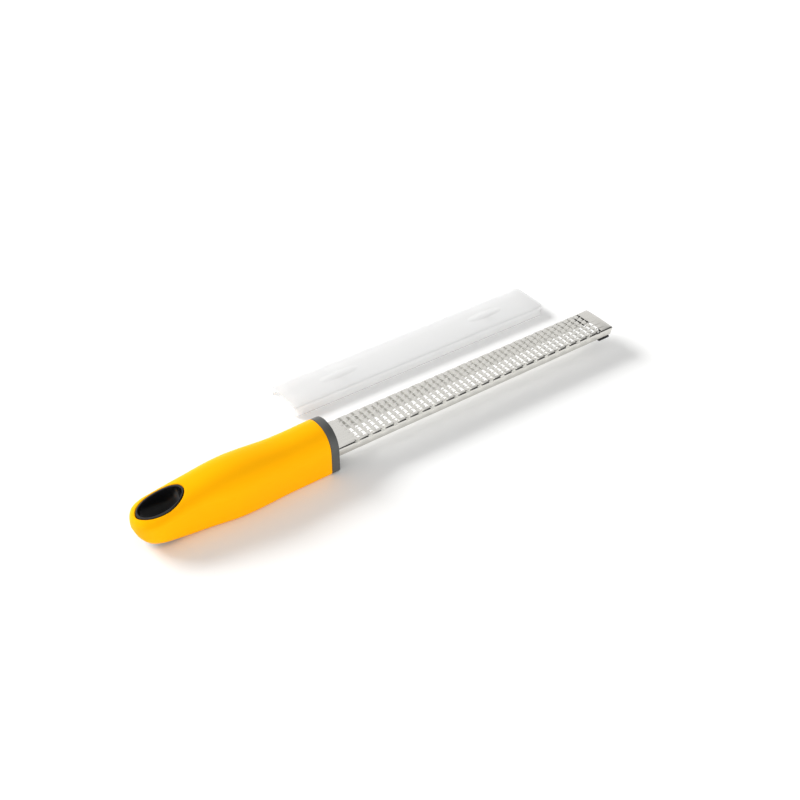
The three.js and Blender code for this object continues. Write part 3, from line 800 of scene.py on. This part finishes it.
class GRATER_OT_make_grip(Operator):
    """Mould the soft grip with its hanging hole"""

    bl_idname = "grater.make_grip"
    bl_label = "Grip"

    def execute(self, context):
        settings = context.scene.grater
        grip = settings.grip
        low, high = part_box("grip")
        bm = bmesh.new()
        sweep(bm, grip_rows(grip, low.x, high.x - low.x))
        bmesh.ops.mirror(bm, geom=bm.verts[:] + bm.edges[:] + bm.faces[:], axis="Y", merge_dist=WELD)
        bmesh.ops.remove_doubles(bm, verts=bm.verts, dist=SEAM_WELD)
        middle, *axes = hole_axes(grip, grip.hole_gap + grip.hole_roll)
        rims = [e for e in bm.edges if e.is_boundary]
        upper = [e for e in rims if e.verts[0].co.z > grip.nose_height]
        lower = [e for e in rims if e.verts[0].co.z < grip.nose_height]
        last_upper = roll_rim(bm, upper, low.x + middle, axes, grip.hole_roll, -1)
        last_lower = roll_rim(bm, lower, low.x + middle, axes, grip.hole_roll, 1)
        bmesh.ops.bridge_loops(bm, edges=last_upper + last_lower)
        bmesh.ops.recalc_face_normals(bm, faces=bm.faces)
        piece = new_piece(bm, "soft_grip", soft_touch_tpe(settings.finish))
        settle(piece, "grater", "grip")
        return {"FINISHED"}


class GRATER_OT_make_liner(Operator):
    """Line the hanging hole with its gloss oval tube"""

    bl_idname = "grater.make_liner"
    bl_label = "Hole liner"

    def execute(self, context):
        settings = context.scene.grater
        grip = settings.grip
        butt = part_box("grip")[0].x
        middle, along, across = hole_axes(grip)

        def ring(inset, surface, sink):
            places = []
            for angle in even_steps(0.0, 2 * math.pi, LINER_SIDES)[:-1]:
                x = middle + (along - inset) * math.cos(angle)
                y = (across - inset) * math.sin(angle)
                places.append(Vector((butt + x, y, surface(grip_section(grip, x), y) + sink)))
            return places

        lip = even_steps(0.0, math.pi, LIP_STEPS)
        bevel = [(grip.liner_wall / 2 * (1 - math.cos(a)), grip.liner_lip * (1 - math.sin(a))) for a in lip]
        rings = [ring(inset, crown_height, -sink) for inset, sink in bevel]
        rings += [ring(inset, sole_height, sink) for inset, sink in reversed(bevel)]
        bm = bmesh.new()
        rows = sweep(bm, rings, closed=True)
        ends = [bm.edges.get(pair) for row in (rows[0], rows[-1]) for pair in pairs(row, closed=True)]
        bmesh.ops.bridge_loops(bm, edges=ends)
        bmesh.ops.recalc_face_normals(bm, faces=bm.faces)
        # Off a polished mould: deep black with sharp highlights over a faint waviness
        gloss_abs = moulded_plastic("gloss_black_abs", settings.finish.liner, grain_mm=2.0, smooth=0.16,
                                    rough=0.26, relief=0.02)
        settle(new_piece(bm, "hole_liner", gloss_abs), "grater", "hang_hole_liner")
        return {"FINISHED"}


class GRATER_OT_make_collar(Operator):
    """Round the edges of the collar between grip and blade"""

    bl_idname = "grater.make_collar"
    bl_label = "Collar"

    def execute(self, context):
        settings = context.scene.grater
        plan = sheet_plan(settings.blade)
        margin = settings.blade.sheet
        bm = welded_copy("collar")

        def in_slot(edge):
            place = (edge.verts[0].co + edge.verts[1].co) / 2
            within = abs(place.y) < plan.half + margin
            return within and plan.flange_low - margin < place.z < plan.top + margin

        round_edges(bm, [e for e in corner_edges(bm) if not in_slot(e)], settings.grip.collar_round)
        # A broad soft sheen; the mould's grain of about 0.1 mm is drawn at 0.5 mm so that it shows
        satin_nylon = moulded_plastic("satin_grey_nylon", settings.finish.collar, grain_mm=0.5, smooth=0.36,
                                      rough=0.48, relief=0.06)
        settle(new_piece(bm, "blade_collar", satin_nylon), "grater", "collar")
        return {"FINISHED"}


class GRATER_OT_make_foot(Operator):
    """Trim the pads of the rubber foot under the tip and round its edges"""

    bl_idname = "grater.make_foot"
    bl_label = "Foot"

    def execute(self, context):
        settings = context.scene.grater
        foot = settings.foot
        pad_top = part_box("tip_foot")[0].z + foot.pad
        bm = welded_copy("tip_foot")
        # The pads are drawn in, so that the floor shows through the blade's last rows beside them
        for vert in bm.verts:
            if vert.co.z < pad_top + SAME_PLACE and abs(abs(vert.co.y) - foot.opening / 2) < SAME_PLACE:
                vert.co.y += math.copysign(foot.trim, vert.co.y)
            if abs(vert.co.z - pad_top) < SAME_PLACE:
                vert.co.z -= foot.sink
        round_edges(bm, corner_edges(bm), foot.rounding)
        # Matt black with hardly a highlight; its grain of about 0.1 mm is drawn at 0.6 mm so that it shows
        rubber = moulded_plastic("black_silicone_rubber", settings.finish.foot, grain_mm=0.6, smooth=0.5,
                                 rough=0.66, relief=0.1)
        settle(new_piece(bm, "rubber_foot", rubber), "grater", "tip_foot")
        return {"FINISHED"}


class GRATER_OT_finish_core(Operator):
    """Give the hidden core its moulded plastic"""

    bl_idname = "grater.finish_core"
    bl_label = "Core"

    def execute(self, context):
        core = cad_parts["handle_core"]
        core.data.materials.clear()
        # A plain dull grey; its grain of about 0.1 mm is drawn at 0.8 mm so that it shows
        core.data.materials.append(
            moulded_plastic("moulded_grey_abs", context.scene.grater.finish.core, grain_mm=0.8, smooth=0.4,
                            rough=0.52, relief=0.05))
        return {"FINISHED"}


# Cover
def cosine_steps(centre, half, count):
    """Places from one side of a centre to the other, closer together towards both ends."""
    return [centre - half * math.cos(angle) for angle in even_steps(0.0, math.pi, count)]


def ridge_height(cover, span, x, y):
    """Height of the two finger ridges over the back of a cover of this length."""
    away = abs(x - span / 2) - cover.ridge_spacing / 2
    distance = (2 * away / cover.ridge_length) ** 2 + (2 * y / cover.ridge_width) ** 2
    return cover.ridge_rise * max(1 - distance, 0.0)


def cover_stops(cover, span):
    """Where the rows of the cover's straight part lie, closer together over the ridges."""
    straight = span - cover.corner_radius
    stops = even_steps(0.0, straight, round(straight / COVER_STEP))
    ridge_half = cover.ridge_length / 2
    for side in (-1, 1):
        centre = span / 2 + side * cover.ridge_spacing / 2
        stops = [x for x in stops if abs(x - centre) > ridge_half]
        stops += cosine_steps(centre, ridge_half, RIDGE_STEPS)
    return distinct(stops)


def cover_back(cover, span, height):
    """Rows of places over the cover's back, and how far the ends of each row face the closed end."""
    half = cover.width / 2 - cover.edge_radius
    bend = cover.corner_radius - cover.edge_radius
    straight = span - cover.corner_radius
    columns = [-half, *cosine_steps(0.0, cover.ridge_width / 2, RIDGE_COLUMNS), half]
    rows, turns = [], []
    for x in cover_stops(cover, span):
        rows.append([Vector((x, y, height + ridge_height(cover, span, x, y))) for y in columns])
        turns.append(0.0)
    for turn in even_steps(0.0, math.pi / 2, CORNER_STEPS)[1:]:
        narrow = 1 - bend * (1 - math.cos(turn)) / half
        rows.append([Vector((straight + bend * math.sin(turn), y * narrow, height)) for y in columns])
        turns.append(turn)
    return rows, turns


def add_cover_sides(bm, cover, rows, turns):
    """Extrudes the back's sides and closed end over a quarter round and down to the table."""
    rim = [row[0] for row in rows] + rows[-1][1:] + [row[-1] for row in reversed(rows[:-1])]
    near = [Vector((math.sin(a), -math.cos(a), 0.0)) for a in turns]
    far = [Vector((math.sin(a), math.cos(a), 0.0)) for a in turns]
    ways = near + [Vector((1.0, 0.0, 0.0))] * (len(rows[0]) - 2) + far[::-1]
    starts = [v.co.copy() for v in rim]
    for angle in even_steps(0.0, math.pi / 2, ROUND_STEPS)[1:]:
        out = cover.edge_radius * math.sin(angle)
        drop = Vector((0.0, 0.0, cover.edge_radius * (1 - math.cos(angle))))
        rim = extrude_row(bm, rim, [start + way * out - drop for start, way in zip(starts, ways)])
    extrude_row(bm, rim, [Vector((v.co.x, v.co.y, 0.0)) for v in rim])


class GRATER_OT_make_cover(Operator):
    """Mould the blade cover with its finger ridges"""

    bl_idname = "grater.make_cover"
    bl_label = "Blade cover"

    def execute(self, context):
        settings = context.scene.grater
        cover = settings.cover
        low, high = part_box("blade_cover")
        span = (high.x - low.x - cover.width * math.sin(cover.turn)) / math.cos(cover.turn)
        places, turns = cover_back(cover, span, high.z - cover.ridge_rise)
        bm = bmesh.new()
        add_cover_sides(bm, cover, sweep(bm, places), turns)
        face_up(bm)
        middle = Vector(((low.x + high.x) / 2, (low.y + high.y) / 2, 0.0))
        turned = Matrix.Translation(middle) @ Matrix.Rotation(-cover.turn, 4, "Z")
        lie = turned @ Matrix.Translation((-span / 2, 0, 0))
        bmesh.ops.transform(bm, matrix=lie, verts=bm.verts)
        piece = new_piece(bm, "cover_shell", frosted_polypropylene(settings.finish))
        add_wall(piece, cover.wall)
        add_edge_break(piece, cover.rim_round)
        settle(piece, "cover", "blade_cover")
        return {"FINISHED"}


# Stage: distances and sizes in metres, and azimuths counted from -Y towards +X
FLOOR_RADIUS = 1.0
FLOOR_SEGMENTS = 96
# The floor lies a hair below the lowest face, so that the two don't share a plane
FLOOR_DROP = 0.02 * MM
LAMP_DISTANCE = 3.0
KEY_AZIMUTH_DEG = 207.0
KEY_ELEVATION_DEG = 29.0
KEY_SIZE = (1.8, 1.1)
FILL_AZIMUTH_DEG = 350.0
FILL_ELEVATION_DEG = 8.0
FILL_SIZE = (2.4, 0.6)
DARK_AZIMUTH_DEG = 70.0
DARK_ELEVATION_DEG = 45.0
DARK_SPREAD_DEG = 42.0
DARK_SOFT_DEG = 6.0
WHITE = (1.0, 1.0, 1.0, 1.0)


def bearing(azimuth_deg, elevation_deg):
    """Direction towards an azimuth and an elevation."""
    a, e = math.radians(azimuth_deg), math.radians(elevation_deg)
    return Vector((math.sin(a) * math.cos(e), -math.cos(a) * math.cos(e), math.sin(e)))


def seen_directly(tree):
    """1 for camera, glossy and transmission rays, 0 for the light that falls on the object."""
    path = add_node(tree, "ShaderNodeLightPath").outputs
    by_eye_or_gloss = add_node(tree, "ShaderNodeMath", {
        0: path["Is Camera Ray"], 1: path["Is Glossy Ray"]}, operation="MAXIMUM")
    seen = add_node(tree, "ShaderNodeMath", {
        0: by_eye_or_gloss.outputs["Value"], 1: path["Is Transmission Ray"]}, operation="MAXIMUM")
    return seen.outputs["Value"]


def pale_table(stage):
    """Matt white table top, lifted to white where it is seen so that it keeps only the object's shadow."""
    material, tree = new_material("matt_white_table")
    seen = seen_directly(tree)
    fill = add_node(tree, "ShaderNodeMath", {0: seen, 1: stage.floor_fill}, operation="MULTIPLY")
    surface = add_node(tree, "ShaderNodeBsdfPrincipled", {
        "Base Color": opaque(stage.floor_colour), "Roughness": 0.9, "Specular IOR Level": 0.0,
        "Emission Color": WHITE, "Emission Strength": fill.outputs["Value"]})
    add_node(tree, "ShaderNodeOutputMaterial", {"Surface": surface.outputs["BSDF"]})
    return material


def white_surround(stage):
    """A world that is white to the eye, an even light on the object, and an unlit wall in its gloss."""
    world = bpy.data.worlds.new("studio")
    world.use_nodes = True
    tree = world.node_tree
    tree.nodes.clear()
    level = add_node(tree, "ShaderNodeMapRange", {
        "Value": seen_directly(tree), "To Min": stage.ambient, "To Max": 1.0})
    way = add_node(tree, "ShaderNodeTexCoord").outputs["Generated"]
    toward_wall = bearing(DARK_AZIMUTH_DEG, DARK_ELEVATION_DEG)
    nearness = add_node(tree, "ShaderNodeVectorMath", {0: way, 1: toward_wall}, operation="DOT_PRODUCT")
    edge, core = (math.cos(math.radians(DARK_SPREAD_DEG + soft)) for soft in (DARK_SOFT_DEG, -DARK_SOFT_DEG))
    wall = add_node(tree, "ShaderNodeMapRange", {
        "Value": nearness.outputs["Value"], "From Min": edge, "From Max": core,
        "To Min": 1.0, "To Max": stage.dark_wall})
    mirrored = add_node(tree, "ShaderNodeLightPath").outputs["Is Glossy Ray"]
    strength = add_node(tree, "ShaderNodeMix", {
        SHARE: mirrored, FIRST_VALUE: level.outputs["Result"],
        SECOND_VALUE: wall.outputs["Result"]}, data_type="FLOAT")
    light = add_node(tree, "ShaderNodeBackground", {
        "Color": WHITE, "Strength": strength.outputs[VALUE_RESULT]})
    add_node(tree, "ShaderNodeOutputWorld", {"Surface": light.outputs["Background"]})
    return world


def add_lamp(name, power, size, toward):
    """A rectangular lamp that looks at the object's middle and doesn't show in its gloss."""
    middle = (CAD_BOX[0] + CAD_BOX[1]) / 2
    lamp = bpy.data.lights.new(name, "AREA")
    lamp.shape = "RECTANGLE"
    lamp.size, lamp.size_y = size
    lamp.energy = power
    holder = bpy.data.objects.new(name, lamp)
    holder.location = middle + toward * LAMP_DISTANCE
    holder.rotation_euler = (middle - holder.location).to_track_quat("-Z", "Y").to_euler()
    holder.visible_glossy = False
    bpy.context.scene.collection.objects.link(holder)


class GRATER_OT_set_stage(Operator):
    """Set the camera, the lamps and the pale floor"""

    bl_idname = "grater.set_stage"
    bl_label = "Stage"

    def execute(self, context):
        scene = context.scene
        stage = scene.grater.stage
        scene.view_settings.view_transform = "Standard"
        scene.world = white_surround(stage)

        bm = bmesh.new()
        bmesh.ops.create_circle(bm, cap_ends=True, segments=FLOOR_SEGMENTS, radius=FLOOR_RADIUS)
        bmesh.ops.translate(bm, verts=bm.verts, vec=Vector((0.0, 0.0, CAD_BOX[0].z - FLOOR_DROP)))
        floor = new_piece(bm, "floor", pale_table(stage))

        add_lamp("key_softbox", stage.key_power, KEY_SIZE, bearing(KEY_AZIMUTH_DEG, KEY_ELEVATION_DEG))
        add_lamp("front_fill", stage.fill_power, FILL_SIZE, bearing(FILL_AZIMUTH_DEG, FILL_ELEVATION_DEG))

        eye = bpy.data.cameras.new("photo_camera")
        eye.lens = stage.camera_lens
        camera = bpy.data.objects.new("photo_camera", eye)
        camera.location = stage.camera_place
        camera.rotation_euler = (stage.camera_tilt, 0.0, stage.camera_heading)
        scene.collection.objects.link(camera)
        scene.camera = camera
        return {"FINISHED"}


# Add-on
OPERATORS = (
    GRATER_OT_make_blade,
    GRATER_OT_make_grip,
    GRATER_OT_make_liner,
    GRATER_OT_make_collar,
    GRATER_OT_make_foot,
    GRATER_OT_finish_core,
    GRATER_OT_make_cover,
    GRATER_OT_set_stage,
)


class GRATER_PT_panel(Panel):
    """Settings and steps of the grater"""

    bl_idname = "GRATER_PT_panel"
    bl_label = "Rasp Grater"
    bl_space_type = "VIEW_3D"
    bl_region_type = "UI"
    bl_category = "Grater"

    def draw(self, context):
        settings = context.scene.grater
        for part in settings.__annotations__:
            group = getattr(settings, part)
            box = self.layout.box()
            for name in group.__annotations__:
                box.prop(group, name)
        for operator in OPERATORS:
            self.layout.operator(operator.bl_idname)


CLASSES = (BladeSizes, GripSizes, FootSizes, CoverSizes, Finishes, StageSettings, GraterSettings, *OPERATORS,
           GRATER_PT_panel)


def register():
    """Registers the add-on's classes and its settings."""
    for cls in CLASSES:
        bpy.utils.register_class(cls)
    bpy.types.Scene.grater = PointerProperty(name="Grater", description="Settings of the grater",
                                             type=GraterSettings)


def unregister():
    """Takes the add-on's classes and settings away."""
    del bpy.types.Scene.grater
    for cls in reversed(CLASSES):
        bpy.utils.unregister_class(cls)


def main():
    """Builds every piece and the stage."""
    register()
    for operator in OPERATORS:
        group, name = operator.bl_idname.split(".")
        getattr(getattr(bpy.ops, group), name)()


if __name__ == "__main__":
    main()
